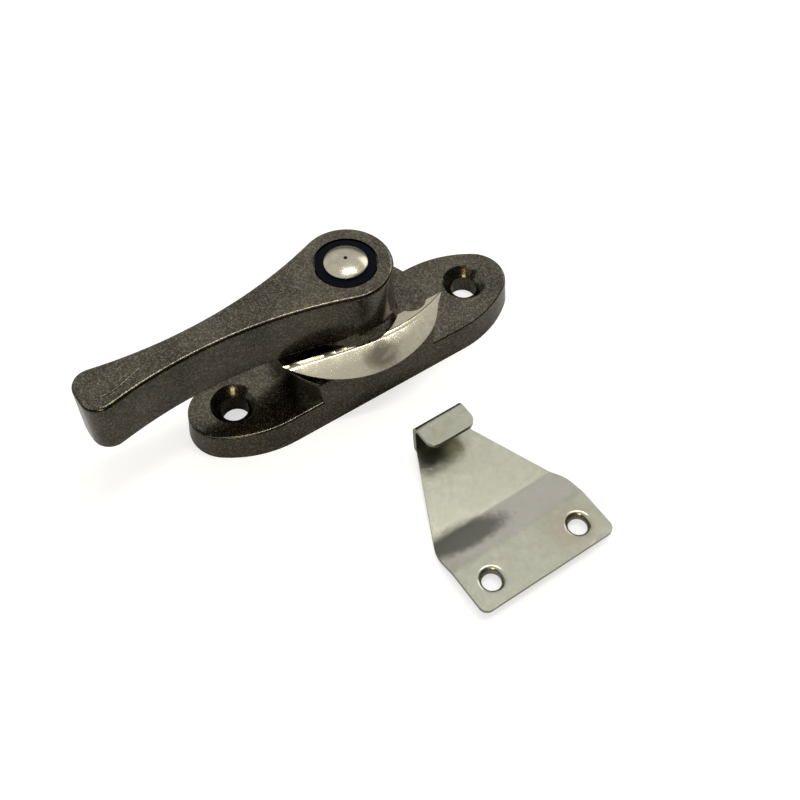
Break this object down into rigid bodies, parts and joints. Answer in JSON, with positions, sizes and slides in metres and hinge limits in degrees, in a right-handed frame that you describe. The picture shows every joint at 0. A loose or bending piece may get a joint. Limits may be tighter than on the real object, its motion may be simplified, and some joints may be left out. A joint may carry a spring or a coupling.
{
  "type": "sliding window lock",
  "caption": "Crescent window lock: bronze lever on a screw-down base with a nickelled crescent, and the stainless keeper that it hooks",
  "frame": {"origin": "midway between the base's two screw holes, on the base's mounting face", "axes": "+Z out of the mounting face; +X along the base, away from the lever's grip; -Y towards the keeper, the side where the crescent stands out"},
  "size_m": [0.1, 0.0797, 0.0315],
  "materials": {
    "bronze_paint": "hammered",
    "nickel": "satin",
    "dark_nylon": "satin",
    "steel": "plain",
    "stainless": "satin"
  },
  "bodies": {
    "fixed": {"base": "bronze_paint", "pivot_pin": "nickel", "cap_washer": "dark_nylon", "thrust_washer": "steel", "anchor_plate": "steel", "disc_spring": "steel", "keeper": "stainless"},
    "lever": {"lever_handle": "bronze_paint", "crescent_cam": "nickel", "stop_washer": "steel"}
  },
  "joints": [
    {"name": "lever_turn", "type": "hinge", "parent": "fixed", "child": "lever", "pos_m": [0, 0.0018, 0], "axis": [0, 0, 1], "range_deg": [-180, 0]}
  ]
}
